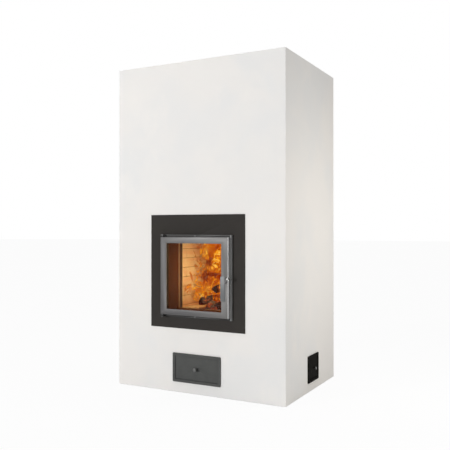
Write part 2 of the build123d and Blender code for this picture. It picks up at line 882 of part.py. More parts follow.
def latch_plate():
    """Plate on the right stile, beside the latch."""
    plate = block(
        latch_plate_left,
        latch_plate_right,
        leaf_front_y - latch_plate_thickness,
        leaf_front_y,
        latch_plate_bottom,
        latch_plate_top,
    )
    return chamfer(plate.edges().group_by(Axis.Y)[0], latch_plate_chamfer)


# Latch lever, which turns on the leaf

def bar_between(x_1, z_1, x_2, z_2, width):
    """A flat bar between two points of the lever."""
    direction = Vector(x_2 - x_1, 0, z_2 - z_1)
    middle = (x_1 + x_2) / 2, (lever_front_y + lever_back_y) / 2, (z_1 + z_2) / 2
    plane = Plane(origin=middle, x_dir=direction, z_dir=(0, -1, 0))
    return plane * Box(direction.length, width, latch_arm_thickness)


def latch_lever():
    """Lever with its spindle, its hook over the keeper and a short tail."""
    lever = rod_along_y(latch_hub_radius, latch_pivot_x, latch_pivot_z, lever_front_y, lever_back_y)
    lever += rod_along_y(latch_end_radius, latch_ball_x, latch_ball_z, lever_front_y, lever_back_y)
    lever += bar_between(latch_pivot_x, latch_pivot_z, latch_ball_x, latch_ball_z, latch_arm_width)
    lever += rod_along_y(latch_tail_radius, latch_tail_x, latch_tail_z, lever_front_y, lever_back_y)
    lever += bar_between(latch_pivot_x, latch_pivot_z, latch_tail_x, latch_tail_z, 2 * latch_tail_radius)
    hook_bottom = keeper_z + keeper_radius + latch_lever_gap
    lever += block(
        latch_ball_x,
        latch_ball_x + latch_hook_reach,
        lever_front_y,
        lever_back_y,
        hook_bottom,
        hook_bottom + latch_hook_height,
    )
    spindle_end = lever_back_y + spindle_length
    lever += rod_along_y(spindle_radius, latch_pivot_x, latch_pivot_z, lever_back_y, spindle_end)
    return lever


def latch_knob():
    """Bright ball on a short neck."""
    neck_front = lever_front_y - latch_ball_neck
    centre_y = neck_front - latch_ball_seat
    ball = Pos(latch_ball_x, centre_y, latch_ball_z) * Sphere(latch_ball_radius)
    neck = rod_along_y(latch_ball_neck_radius, latch_ball_x, latch_ball_z, centre_y, lever_front_y)
    return ball + neck


# Framed openings: ash drawer and soot hatches

def framed_tube(width, height, border, depth):
    """A rounded plate with a rectangular hole and a sheet tube behind it.

    Built on the XY plane with the plate's back at Z = 0, the tube below it and Y upwards.
    """
    plate = extrude(RectangleRounded(width, height, plate_corner_radius), plate_proud)
    plate = fillet(plate.edges().group_by(Axis.Z)[-1], tube_wall / 2)
    hole_width = width - 2 * border
    hole_height = height - 2 * border
    tube = extrude(Rectangle(hole_width + 2 * tube_wall, hole_height + 2 * tube_wall), -depth)
    body = plate + tube
    cut_depth = depth + plate_proud + 2 * overshoot
    return body - Pos(0, 0, (plate_proud - depth) / 2) * Box(hole_width, hole_height, cut_depth)


def knob(neck_radius, neck_length, head_radius, head_thickness, stud_length):
    """A turned knob: stud below Z = 0, neck and rounded head above it."""
    head = Pos(0, 0, neck_length + head_thickness / 2) * Cylinder(head_radius, head_thickness)
    head = fillet(head.edges(), knob_edge_radius)
    neck = Pos(0, 0, neck_length / 2) * Cylinder(neck_radius, neck_length)
    stud = Pos(0, 0, -stud_length / 2) * Cylinder(knob_stud_radius, stud_length)
    return head + neck + stud


def front_plane(x, y, z):
    """A plane that faces the front, with its Y upwards."""
    return Plane(origin=(x, y, z), x_dir=(1, 0, 0), z_dir=(0, -1, 0))


def side_plane(sign, x, z):
    """A plane that faces the right (sign 1) or the left (sign -1), with its Y upwards."""
    return Plane(origin=(sign * x, hatch_centre_y, z), x_dir=(0, sign, 0), z_dir=(sign, 0, 0))


def ash_frame():
    """Frame of the ash drawer, with the tube that lines the wall."""
    depth = firebox_front_y - front_y
    tube = framed_tube(ash_frame_width, ash_frame_height, ash_frame_border, depth)
    return front_plane(0, front_y, ash_centre_z) * tube


def ash_drawer_box():
    """Five sheets welded to an open box: floor, two sides, back, and front with a stud hole."""
    front = drawer_plate_back_y
    back = front + drawer_length
    floor_top = drawer_bottom + drawer_wall
    top = drawer_bottom + drawer_height
    inner = drawer_half - drawer_wall
    floor = block(-drawer_half, drawer_half, front, back, drawer_bottom, floor_top)
    left = block(-drawer_half, -inner, front, back, floor_top, top)
    right = block(inner, drawer_half, front, back, floor_top, top)
    back_sheet = block(-inner, inner, back - drawer_wall, back, floor_top, top)
    front_sheet = block(-inner, inner, front, front + drawer_wall, floor_top, top)
    front_sheet -= stud_hole(front - overshoot, front + drawer_wall + overshoot)
    return [floor, left, right, back_sheet, front_sheet]


def stud_hole(y_low, y_high):
    """Hole for the stud of the drawer's knob."""
    return rod_along_y(knob_stud_radius + screw_hole_clearance, 0, ash_centre_z, y_low, y_high)


def ash_drawer_front():
    """Front plate of the drawer, set back a little in its frame."""
    half = ash_opening_half - front_clearance
    bottom = ash_opening_bottom + front_clearance
    top = ash_opening_top - front_clearance
    plate = block(-half, half, drawer_face_y, drawer_plate_back_y, bottom, top)
    plate = chamfer(plate.edges().group_by(Axis.Y)[0], drawer_wall / 2)
    return plate - stud_hole(drawer_face_y - overshoot, drawer_plate_back_y + overshoot)


def ash_drawer_knob():
    """Knob in the middle of the drawer's front."""
    stud = drawer_front_thickness + drawer_wall + nut_height
    turned = knob(
        drawer_knob_neck_radius, drawer_knob_neck, drawer_knob_head_radius, drawer_knob_head, stud
    )
    return front_plane(0, drawer_face_y, ash_centre_z) * turned


def ash_drawer_nut():
    """Hexagon nut on the knob's stud, inside the drawer."""
    nut = extrude(RegularPolygon(nut_across_flats / 2, 6, major_radius=False), -nut_height)
    nut -= Pos(0, 0, -nut_height / 2) * Cylinder(knob_stud_radius + screw_hole_clearance, nut_height + 2 * overshoot)
    return front_plane(0, drawer_plate_back_y + drawer_wall, ash_centre_z) * nut


def hatch_frame(sign):
    """Frame of a soot hatch, with the tube that lines the wall."""
    depth = side_x - channel_outer_x
    tube = framed_tube(hatch_width, hatch_height, hatch_border, depth)
    return side_plane(sign, side_x, hatch_centre_z) * tube


def hatch_stud_hole(length):
    """Hole for the stud of a hatch knob."""
    return Pos(0, 0, -length / 2) * Cylinder(knob_stud_radius + screw_hole_clearance, length + 2 * overshoot)


def hatch_cover(sign):
    """Cover plate of a soot hatch."""
    width = 2 * (hatch_opening_half - front_clearance)
    height = hatch_height - 2 * hatch_border - 2 * front_clearance
    plate = extrude(Rectangle(width, height), -hatch_cover_thickness)
    plate = chamfer(plate.edges().group_by(Axis.Z)[-1], tube_wall / 2)
    plate -= hatch_stud_hole(hatch_cover_thickness)
    return side_plane(sign, hatch_face_x, hatch_centre_z) * plate


def hatch_plug(sign):
    """Insulating plug behind a hatch cover, held by the knob's stud."""
    width = 2 * (hatch_opening_half - hatch_plug_gap)
    height = hatch_height - 2 * hatch_border - 2 * hatch_plug_gap
    plug = extrude(Rectangle(width, height), -hatch_plug_length)
    plug -= hatch_stud_hole(hatch_stud_length - hatch_cover_thickness)
    return side_plane(sign, hatch_cover_back_x, hatch_centre_z) * plug


def hatch_knob(sign):
    """Knob in the middle of a hatch cover."""
    turned = knob(
        hatch_knob_neck_radius, hatch_knob_neck, hatch_knob_head_radius, hatch_knob_head, hatch_stud_length
    )
    return side_plane(sign, hatch_face_x, hatch_centre_z) * turned


# Flue outlet

def flue_collar():
    """Tube from the manifold to the back face, with a flange inside the core."""
    flange_front = channel_back_y - flue_flange_thickness
    collar = flue_rod(flue_outer_radius, flange_front, back_y)
    collar += flue_rod(flue_outer_radius + flue_flange_width, flange_front, channel_back_y)
    return collar - flue_rod(flue_inner_radius, flange_front - overshoot, back_y + overshoot)


def flue_seal():
    """Packing between the flue collar and the shell."""
    back = shell_back_y - flue_seal_recess
    outer = flue_rod(flue_hole_radius - flue_seal_gap, shell_inner_back_y, back)
    bore = flue_outer_radius + flue_seal_gap
    return outer - flue_rod(bore, shell_inner_back_y - overshoot, back + overshoot)


# The parts, one file each

os.makedirs("parts", exist_ok=True)

save(
    "base_slab",
    block(-shell_outer_x, shell_outer_x, shell_front_y, shell_back_y, 0, base_slab_height),
)
for number in range(1, course_count + 1):
    save(f"shell_course_{number}", *shell_course(number))
save("flue_block", flue_block())
save("plaster_coat", plaster_coat())
save(
    "top_slab",
    *slabs_across(
        shell_outer_x,
        shell_front_y,
        shell_back_y,
        shell_top_z,
        shell_top_z + top_slab_thickness,
        top_slab_count,
    ),
)
save(
    "top_insulation",
    block(-shell_inner_x, shell_inner_x, shell_inner_front_y, shell_inner_back_y, ceiling_top_z, shell_top_z),
)
save("expansion_felt", *expansion_felt())

save("core_front_wall", *core_front_wall())
save("core_back_wall", *core_back_wall())
save("left_channel_liner", *channel_liner("left"))
save("right_channel_liner", *channel_liner("right"))
save(
    "core_ceiling",
    *slabs_across(
        core_outer_x, core_front_y, core_back_y, ceiling_bottom_z, ceiling_top_z, ceiling_slab_count
    ),
)
save("hearth_piers", *hearth_piers())
save("ash_floor_slab", ash_floor_slab())
save(
    "hearth_slab",
    *slabs_round_grate(
        core_block_half, firebox_front_y, channel_back_y, hearth_slab_bottom, hearth_slab_top, grate_ledge
    ),
)
save(
    "firebox_floor",
    *slabs_round_grate(
        firebox_half, firebox_front_y, firebox_back_y, hearth_slab_top, firebox_floor_z, 0
    ),
)
save("firebox_left_wall", *brick_wall("left", firebox_front_y, brick_back_y, firebox_half, core_block_half))
save("firebox_right_wall", *brick_wall("right", firebox_front_y, brick_back_y, firebox_half, core_block_half))
save("firebox_back_wall", *brick_wall("back", -firebox_half, firebox_half, firebox_back_y, brick_back_y))
save("throat_slabs", *throat_slabs())
save("upper_chamber_walls", *upper_chamber_walls())
save("storage_blocks", *storage_blocks())
save("grate", grate())

save("surround_plate", surround_plate())
save("door_frame", door_frame())
save("door_collar", door_collar())
save("collar_seal", collar_seal())
save("hinge_pins", *hinge_pins())
save("latch_keeper", latch_keeper())
save("frame_screws", *frame_screws())
save("door_leaf", door_leaf())
save("door_glass", outline_block((glass_half, glass_bottom, glass_top), glass_front_y, glass_back_y))
save("glass_tape", glass_tape())
save("glass_retainers", *glass_retainers())
save("retainer_screws", *retainer_screws())
save("door_rope_seal", door_rope_seal())
save("latch_plate", latch_plate())
save("latch_lever", latch_lever())
save("latch_knob", latch_knob())

save("ash_frame", ash_frame())
save("ash_drawer_box", *ash_drawer_box())
save("ash_drawer_front", ash_drawer_front())
save("ash_drawer_knob", ash_drawer_knob())
save("ash_drawer_nut", ash_drawer_nut())
for name, sign in (("right", 1), ("left", -1)):
    save(f"{name}_hatch_frame", hatch_frame(sign))
    save(f"{name}_hatch_cover", hatch_cover(sign))
    save(f"{name}_hatch_plug", hatch_plug(sign))
    save(f"{name}_hatch_knob", hatch_knob(sign))
save("flue_collar", flue_collar())
save("flue_seal", flue_seal())
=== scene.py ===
import json
import math
import random

import bpy
from mathutils import Euler, Matrix, Vector


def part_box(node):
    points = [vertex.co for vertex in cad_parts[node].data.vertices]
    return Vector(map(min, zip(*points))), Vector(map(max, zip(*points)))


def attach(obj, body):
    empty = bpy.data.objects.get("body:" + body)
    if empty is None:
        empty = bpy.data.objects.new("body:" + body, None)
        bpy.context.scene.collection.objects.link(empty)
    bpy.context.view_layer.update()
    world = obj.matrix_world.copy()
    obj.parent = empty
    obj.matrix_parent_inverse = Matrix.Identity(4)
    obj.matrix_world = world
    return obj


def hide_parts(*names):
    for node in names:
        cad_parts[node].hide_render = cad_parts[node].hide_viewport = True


# A masonry heater: white plastered block, glazed fire door with a fire behind it,
# ash drawer and soot hatches. Metres, X right, Y from front to back, Z up.

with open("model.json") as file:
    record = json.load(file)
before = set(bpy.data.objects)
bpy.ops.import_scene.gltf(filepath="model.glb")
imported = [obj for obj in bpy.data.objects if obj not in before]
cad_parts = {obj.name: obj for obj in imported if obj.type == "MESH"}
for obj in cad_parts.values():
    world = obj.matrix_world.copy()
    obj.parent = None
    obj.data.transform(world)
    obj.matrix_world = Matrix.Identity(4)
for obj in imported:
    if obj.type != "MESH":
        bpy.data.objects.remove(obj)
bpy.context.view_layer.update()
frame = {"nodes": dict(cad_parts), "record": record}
bpy.ops.object.select_all(action="DESELECT")

NODES = frame["nodes"]
FIXED_BODY = "heater"
FIRE_BODY = "grate"


# Shader building

class Value:
    """A node's output that takes part in arithmetic; every operation adds a Math node."""

    def __init__(self, finish, socket):
        self.finish = finish
        self.socket = socket

    def math(self, operation, *values):
        """Add a Math node that takes the given values in their order."""
        return self.finish.node("ShaderNodeMath", {"operation": operation}, dict(enumerate(values)))

    def __add__(self, other):
        return self.math("ADD", self, other)

    __radd__ = __add__

    def __mul__(self, other):
        return self.math("MULTIPLY", self, other)

    __rmul__ = __mul__

    def __sub__(self, other):
        return self.math("SUBTRACT", self, other)

    def __rsub__(self, other):
        return self.math("SUBTRACT", other, self)

    def absolute(self):
        return self.math("ABSOLUTE", self)

    def sine(self):
        return self.math("SINE", self)

    def smaller(self, other):
        return self.math("MINIMUM", self, other)

    def larger(self, other):
        return self.math("MAXIMUM", self, other)

    def spread(self, low, high, to_low=0.0, to_high=1.0):
        """Map the range low..high to another one, clamped and smooth at its ends."""
        values = {"Value": self, "From Min": low, "From Max": high, "To Min": to_low, "To Max": to_high}
        return self.finish.node("ShaderNodeMapRange", {"interpolation_type": "SMOOTHSTEP"}, values)

    def above(self, place, width=0.001):
        """0 up to a place, then 1."""
        return self.spread(place, place + width)

    def below(self, place, width=0.001):
        """1 up to a place, then 0."""
        return self.spread(place, place + width, 1.0, 0.0)


class Finish:
    """A material, or a world, under construction."""

    def __init__(self, name, world=None):
        self.owner = world or bpy.data.materials.new(name)
        self.owner.use_nodes = True
        self.tree = self.owner.node_tree
        self.tree.nodes.clear()
        kind = "ShaderNodeOutputWorld" if world else "ShaderNodeOutputMaterial"
        self.out = self.tree.nodes.new(kind)

    def node(self, kind, settings=None, values=None, output=0):
        """Add a node: its settings first, then the values or links of its sockets."""
        made = self.tree.nodes.new(kind)
        for name, setting in (settings or {}).items():
            if name == "stops":
                self.set_stops(made.color_ramp, setting)
            else:
                setattr(made, name, setting)
        for name, value in (values or {}).items():
            self.feed(made.inputs[name], value)
        return Value(self, made.outputs[output])

    def feed(self, socket, value):
        if isinstance(value, Value):
            self.tree.links.new(value.socket, socket)
        elif socket.type == "RGBA" and len(value) == 3:
            socket.default_value = (*value, 1.0)
        else:
            socket.default_value = value

    def set_stops(self, ramp, stops):
        while len(ramp.elements) > 1:
            ramp.elements.remove(ramp.elements[-1])
        for number, (place, colour) in enumerate(stops):
            stop = ramp.elements[0] if number == 0 else ramp.elements.new(place)
            stop.position = place
            stop.color = (*colour, 1.0)

    def place(self, scale=(1, 1, 1), turn=(0, 0, 0), centre=(0, 0, 0)):
        """Object coordinates, moved, turned and scaled."""
        coordinates = self.node("ShaderNodeTexCoord", output="Object")
        values = {"Vector": coordinates, "Location": centre, "Rotation": turn, "Scale": scale}
        return self.node("ShaderNodeMapping", {"vector_type": "POINT"}, values)

    def noise(self, scale, detail=4.0, roughness=0.55, distortion=0.0, vector=None):
        vector = vector or self.place()
        values = {
            "Vector": vector,
            "Scale": scale,
            "Detail": detail,
            "Roughness": roughness,
            "Distortion": distortion,
        }
        return self.node("ShaderNodeTexNoise", {"noise_dimensions": "3D"}, values)

    def cells(self, scale, feature="F1"):
        values = {"Vector": self.place(), "Scale": scale}
        return self.node("ShaderNodeTexVoronoi", {"feature": feature}, values)

    def axes(self):
        """The three coordinates as separate values."""
        made = self.node("ShaderNodeSeparateXYZ", values={"Vector": self.place()})
        return tuple(Value(self, part) for part in made.socket.node.outputs)

    def mix(self, first, second, factor):
        """Mix two colours."""
        sockets = {0: factor, 6: first, 7: second}
        return self.node("ShaderNodeMix", {"data_type": "RGBA"}, sockets, output=2)

    def ramp(self, factor, stops):
        return self.node("ShaderNodeValToRGB", {"stops": stops}, {"Fac": factor})

    def bump(self, height, distance, strength=1.0, below=None):
        values = {"Height": height, "Distance": distance, "Strength": strength}
        if below is not None:
            values["Normal"] = below
        return self.node("ShaderNodeBump", None, values)

    def surface(self, **values):
        """Finish with a Principled shader; keyword names are its sockets with underscores."""
        sockets = {name.replace("_", " "): value for name, value in values.items()}
        shader = self.node("ShaderNodeBsdfPrincipled", None, sockets)
        return self.close(shader)

    def close(self, shader):
        self.tree.links.new(shader.socket, self.out.inputs["Surface"])
        return self.owner


# Places that the finishes and the fire follow

LEAF_LOW, LEAF_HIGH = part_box("door_leaf")
FRAME_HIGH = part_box("door_frame")[1]
GRATE_LOW, GRATE_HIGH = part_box("grate")
# Width of the bright bare-metal strip that is a painted highlight on the leaf's latch edge.
EDGE_HIGHLIGHT_WIDTH = 0.0020
FRAME_RIM = 0.0040
OPENING_HALF = 0.1708
OPENING_BOTTOM = 0.4300
OPENING_TOP = 0.7980
FIREBOX_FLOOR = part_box("firebox_floor")[1].z
FLAME_SPAN = (FIREBOX_FLOOR + 0.005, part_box("door_collar")[1].z + 0.002)


# Finishes

def shade(colour, share):
    """A colour made darker or lighter by a share."""
    return tuple(share * part for part in colour)


def plaster_finish():
    """Trowelled white plaster: faint warm and cool patches, fine grain."""
    f = Finish("white_plaster")
    patches = f.noise(1.6, 3.0, 0.6, 0.4)
    clouds = f.noise(5.5, 4.0, 0.6, vector=f.place(scale=(1, 1, 0.7), centre=(3, 1, 2)))
    warm = f.mix((0.835, 0.815, 0.79), (0.80, 0.795, 0.785), patches.spread(0.42, 0.62))
    colour = f.mix(warm, (0.86, 0.835, 0.805), clouds.spread(0.5, 0.75) * 0.6)
    trowel = f.noise(9.0, 2.0, 0.5, 1.2, vector=f.place(scale=(1, 1, 2.2)))
    grain = f.noise(420.0, 3.0, 0.6)
    normal = f.bump(trowel, 0.0012, 0.5)
    normal = f.bump(grain, 0.0003, 0.35, below=normal)
    return f.surface(
        Base_Color=colour,
        Roughness=clouds.spread(0.3, 0.7, 0.82, 0.93),
        Normal=normal,
        Specular_IOR_Level=0.25,
    )


def mineral_finish(name, dark, light, grain_scale, pit_scale):
    """Cast or pressed mineral: two tones, grains and small pits, with painted shade darkening the pits."""
    f = Finish(name)
    tone = f.noise(7.0, 5.0, 0.6)
    grains = f.noise(grain_scale, 3.0, 0.7)
    pits = f.cells(pit_scale).spread(0.05, 0.22)
    colour = f.mix(dark, light, tone.spread(0.35, 0.65))
    colour = f.mix(colour, dark, grains.spread(0.55, 0.7) * 0.5)
    # Painted shade: the pits are darkened with a darker copy of the dark tone.
    colour = f.mix(shade(dark, 0.55), colour, pits * 0.7 + 0.3)
    normal = f.bump(pits + grains * 0.5, 0.0012, 0.6)
    return f.surface(Base_Color=colour, Roughness=0.9, Normal=normal)


def firebrick_finish():
    """Buff firebrick, slightly scorched towards the top, with dark specks."""
    f = Finish("firebrick")
    _, _, height = f.axes()
    tone = f.noise(11.0, 5.0, 0.65, 0.6)
    grains = f.noise(240.0, 3.0, 0.7)
    specks = f.cells(150.0).spread(0.10, 0.30)
    courses = f.noise(3.0, 1.0, 0.5, vector=f.place(scale=(0.6, 0.6, 6.2)))
    colour = f.mix((0.82, 0.64, 0.42), (0.90, 0.77, 0.56), tone.spread(0.35, 0.65))
    colour = f.mix(colour, (0.86, 0.50, 0.34), courses.spread(0.45, 0.62) * 0.55)
    colour = f.mix((0.36, 0.18, 0.09), colour, specks * 0.6 + 0.4)
    soot = height.spread(0.62, 1.0) * tone.spread(0.3, 0.6) * 0.35
    colour = f.mix(colour, (0.22, 0.12, 0.07), soot)
    normal = f.bump(grains + specks * 0.5, 0.0010, 0.5)
    return f.surface(Base_Color=colour, Roughness=0.88, Normal=normal)


def joint_finish():
    """Thin grey-brown joint mortar between the firebricks."""
    f = Finish("brick_joint")
    tone = f.noise(60.0, 4.0, 0.6)
    colour = f.mix((0.28, 0.17, 0.10), (0.42, 0.28, 0.18), tone.spread(0.35, 0.65))
    return f.surface(Base_Color=colour, Roughness=0.95, Normal=f.bump(tone, 0.001, 0.5))


def painted_steel_finish(name, dark, light, roughness, grain=900.0, relief=0.25, shine=0.45):
    """Heat-proof paint: a faint cloud of tone and a fine sprayed grain."""
    f = Finish(name)
    clouds = f.noise(6.0, 4.0, 0.6)
    orange_peel = f.noise(grain, 2.0, 0.5)
    dust = f.noise(38.0, 5.0, 0.7, 0.5)
    colour = f.mix(dark, light, clouds.spread(0.35, 0.65))
    colour = f.mix(colour, shade(light, 1.25), dust.spread(0.58, 0.75) * 0.35)
    normal = f.bump(orange_peel, 0.00015, relief)
    rough = clouds.spread(0.3, 0.7, roughness - 0.05, roughness + 0.07)
    return f.surface(Base_Color=colour, Roughness=rough, Normal=normal, Specular_IOR_Level=shine)


def cast_iron_finish():
    """Rough sand-cast iron, browned by heat."""
    f = Finish("cast_iron")
    clouds = f.noise(14.0, 5.0, 0.65)
    sand = f.noise(520.0, 3.0, 0.7)
    rust = f.noise(45.0, 5.0, 0.7, 0.8).spread(0.52, 0.7)
    colour = f.mix((0.030, 0.027, 0.025), (0.060, 0.052, 0.047), clouds.spread(0.35, 0.65))
    colour = f.mix(colour, (0.13, 0.055, 0.025), rust * 0.4)
    return f.surface(
        Base_Color=colour,
        Roughness=clouds.spread(0.3, 0.7, 0.55, 0.75),
        Metallic=0.6,
        Normal=f.bump(sand, 0.0005, 0.6),
    )


def collar_finish():
    """Heat-browned lining of the door opening."""
    f = Finish("browned_collar")
    clouds = f.noise(9.0, 4.0, 0.6, 0.5)
    sand = f.noise(480.0, 2.0, 0.6)
    colour = f.mix((0.100, 0.025, 0.004), (0.145, 0.038, 0.007), clouds.spread(0.3, 0.7))
    return f.surface(
        Base_Color=colour,
        Roughness=clouds.spread(0.3, 0.7, 0.6, 0.72),
        Specular_IOR_Level=0.12,
        Normal=f.bump(sand, 0.0003, 0.5),
    )


def frame_finish():
    """Grey paint with painted light: the margin beside the latch painted lighter, painted shade as a
    near-black strip in the gaps above and below the leaf, and the opening's inner edge painted dark as
    shade.
    """
    f = Finish("door_frame_paint")
    across, _, height = f.axes()
    clouds = f.noise(6.0, 4.0, 0.6)
    grey = f.mix((0.100, 0.098, 0.098), (0.125, 0.123, 0.123), clouds.spread(0.35, 0.65))
    # Painted shade: the frame face just above and below the leaf is painted near black, standing in for the
    # shade in the gaps round the leaf.
    over_leaf = height.above(LEAF_HIGH.z - 0.0025) * height.below(FRAME_HIGH.z - FRAME_RIM, 0.0015)
    under_leaf = height.below(LEAF_LOW.z + 0.0015)
    gap_shade = across.below(LEAF_HIGH.x, 0.0015) * (over_leaf + under_leaf).smaller(1.0)
    # Painted light: the margin beside the latch is painted a lighter grey.
    rim = across.above(LEAF_HIGH.x + 0.0005)
    # Painted shade: the inner edge of the opening is painted dark brown.
    lining = across.absolute().below(OPENING_HALF, 0.0008)
    lining = lining * height.above(OPENING_BOTTOM) * height.below(OPENING_TOP)
    colour = f.mix(grey, (0.20, 0.20, 0.20), rim)
    colour = f.mix(colour, (0.012, 0.011, 0.010), gap_shade)
    colour = f.mix(colour, (0.020, 0.006, 0.003), lining)
    grain = f.noise(900.0, 2.0, 0.5)
    return f.surface(
        Base_Color=colour,
        Roughness=clouds.spread(0.3, 0.7, 0.40, 0.52),
        Normal=f.bump(grain, 0.00015, 0.25),
        Specular_IOR_Level=0.3,
    )


def leaf_finish():
    """Grey paint with painted light: lighter towards the upper right and darker towards the lower left,
    with a painted highlight as a bright bare-metal strip along the edge beside the latch.
    """
    f = Finish("door_leaf_paint")
    across, _, height = f.axes()
    clouds = f.noise(6.0, 4.0, 0.6)
    dust = f.noise(38.0, 5.0, 0.7, 0.5)
    paint_colour = f.mix((0.066, 0.063, 0.065), (0.082, 0.079, 0.080), clouds.spread(0.35, 0.65))
    middle = (LEAF_LOW.z + LEAF_HIGH.z) / 2
    # Painted light: the paint is lighter towards the upper right and darker towards the lower left.
    lighter = (across + (height - middle) * 0.5).spread(-0.24, 0.24)
    paint_colour = f.mix(paint_colour, (0.172, 0.166, 0.160), lighter * 0.75)
    paint_colour = f.mix(paint_colour, (0.19, 0.19, 0.19), dust.spread(0.58, 0.75) * 0.25)
    # Painted highlight: a bright bare-metal strip along the edge beside the latch.
    edge_highlight = across.above(LEAF_HIGH.x - EDGE_HIGHLIGHT_WIDTH, 0.0004)
    grain = f.noise(900.0, 2.0, 0.5)
    return f.surface(
        Base_Color=f.mix(paint_colour, (0.86, 0.86, 0.86), edge_highlight),
        Roughness=clouds.spread(0.3, 0.7, 0.37, 0.47),
        Metallic=edge_highlight,
        Normal=f.bump(grain, 0.00015, 0.25),
        Specular_IOR_Level=0.4,
    )


def sooty_finish():
    """Cast refractory, blackened by soot round the fire opening."""
    f = Finish("sooty_refractory")
    across, _, height = f.axes()
    tone = f.noise(14.0, 5.0, 0.6)
    grains = f.noise(260.0, 3.0, 0.7)
    near = across.absolute().below(0.180, 0.080) * height.below(0.84, 0.06)
    clean = f.mix((0.36, 0.24, 0.16), (0.50, 0.36, 0.25), tone.spread(0.35, 0.65))
    soot = f.mix((0.030, 0.012, 0.007), (0.060, 0.024, 0.013), tone.spread(0.4, 0.6))
    colour = f.mix(clean, soot, near)
    return f.surface(Base_Color=colour, Roughness=0.92, Normal=f.bump(grains, 0.001, 0.5))


def bare_metal_finish(name, colour, roughness, brush=(1, 1, 1), scale=300.0):
    """Bare metal with fine brushing and a few dull spots."""
    f = Finish(name)
    lines = f.noise(scale, 3.0, 0.6, vector=f.place(scale=brush))
    spots = f.noise(30.0, 4.0, 0.6)
    tone = f.mix(colour, shade(colour, 0.72), spots.spread(0.5, 0.72) * 0.6)
    rough = spots.spread(0.35, 0.7, roughness, roughness + 0.14)
    return f.surface(Base_Color=tone, Roughness=rough, Metallic=1.0, Normal=f.bump(lines, 0.0001, 0.3))


def felt_finish(name, dark, light, scale=180.0):
    """Matted mineral fibres."""
    f = Finish(name)
    fibres = f.noise(scale, 5.0, 0.75, 2.5, vector=f.place(scale=(1, 1, 0.35)))
    tone = f.noise(8.0, 3.0, 0.6)
    colour = f.mix(dark, light, fibres.spread(0.3, 0.7))
    colour = f.mix(colour, dark, tone.spread(0.45, 0.7) * 0.4)
    return f.surface(Base_Color=colour, Roughness=0.96, Normal=f.bump(fibres, 0.002, 0.6))


def rope_finish():
    """Braided fibre rope."""
    f = Finish("braided_rope")
    across, _, along = f.axes()
    one = ((across + along) * 1400.0).sine()
    other = ((across - along) * 1400.0).sine()
    braid = one.larger(other)
    fibres = f.noise(900.0, 3.0, 0.7)
    colour = f.mix((0.030, 0.026, 0.022), (0.090, 0.078, 0.066), braid.spread(-0.3, 0.9))
    colour = f.mix(colour, (0.16, 0.14, 0.12), fibres.spread(0.55, 0.75) * 0.4)
    return f.surface(Base_Color=colour, Roughness=0.92, Normal=f.bump(braid, 0.0006, 0.8))


def glass_finish():
    """Clear, faintly warm ceramic glass with a thin, patchy film of soot."""
    f = Finish("ceramic_glass")
    film = f.noise(14.0, 4.0, 0.6, 0.4)
    clear = f.node("ShaderNodeBsdfTransparent", None, {"Color": (0.97, 0.93, 0.85)})
    gloss = f.node("ShaderNodeBsdfGlossy", None, {"Color": (1.0, 1.0, 1.0), "Roughness": 0.03})
    soot = f.node("ShaderNodeBsdfDiffuse", None, {"Color": (0.20, 0.14, 0.10)})
    fresnel = f.node("ShaderNodeFresnel", None, {"IOR": 1.45})
    body = f.node("ShaderNodeMixShader", None, {0: fresnel * 0.12, 1: clear, 2: gloss})
    veil = f.node("ShaderNodeMixShader", None, {0: film.spread(0.5, 0.8) * 0.015, 1: body, 2: soot})
    return f.close(veil)


def charred_finish():
    """Charred wood with a red glow in its cracks."""
    f = Finish("charred_log")
    grain = f.noise(70.0, 4.0, 0.65, 0.4, vector=f.place(scale=(1, 0.12, 1)))
    cracks = f.cells(46.0, "DISTANCE_TO_EDGE").spread(0.0, 0.05, 1.0, 0.0)
    glow = f.noise(12.0, 3.0, 0.6).spread(0.45, 0.62)
    colour = f.mix((0.010, 0.004, 0.003), (0.045, 0.014, 0.008), grain.spread(0.4, 0.62))
    stops = [(0.0, (0.012, 0.001, 0.001)), (0.4, (0.35, 0.018, 0.003)), (1.0, (1.0, 0.19, 0.01))]
    normal = f.bump(grain - cracks * 0.6, 0.002, 0.8)
    return f.surface(
        Base_Color=colour,
        Roughness=0.85,
        Emission_Color=f.ramp(cracks * glow, stops),
        Emission_Strength=1.0,
        Normal=normal,
    )


def ember_finish():
    """Bed of embers: grey ash over glowing lumps."""
    f = Finish("ember_bed")
    lumps = f.cells(70.0, "DISTANCE_TO_EDGE")
    heat = f.noise(22.0, 3.0, 0.6).spread(0.42, 0.62) * lumps.spread(0.0, 0.12, 1.0, 0.25)
    colour = f.mix((0.05, 0.035, 0.03), (0.16, 0.12, 0.10), lumps.spread(0.05, 0.3))
    stops = [(0.0, (0.015, 0.001, 0.0)), (0.5, (0.26, 0.018, 0.001)), (1.0, (0.70, 0.13, 0.006))]
    return f.surface(
        Base_Color=colour,
        Roughness=0.95,
        Emission_Color=f.ramp(heat, stops),
        Emission_Strength=1.0,
        Normal=f.bump(lumps, 0.004, 0.8),
    )


FLAME_STOPS = [
    (0.0, (0.10, 0.004, 0.001)),
    (0.25, (0.34, 0.035, 0.001)),
    (0.50, (0.68, 0.15, 0.003)),
    (0.70, (0.98, 0.39, 0.008)),
    (0.86, (1.0, 0.60, 0.04)),
    (1.0, (1.0, 0.76, 0.20)),
]


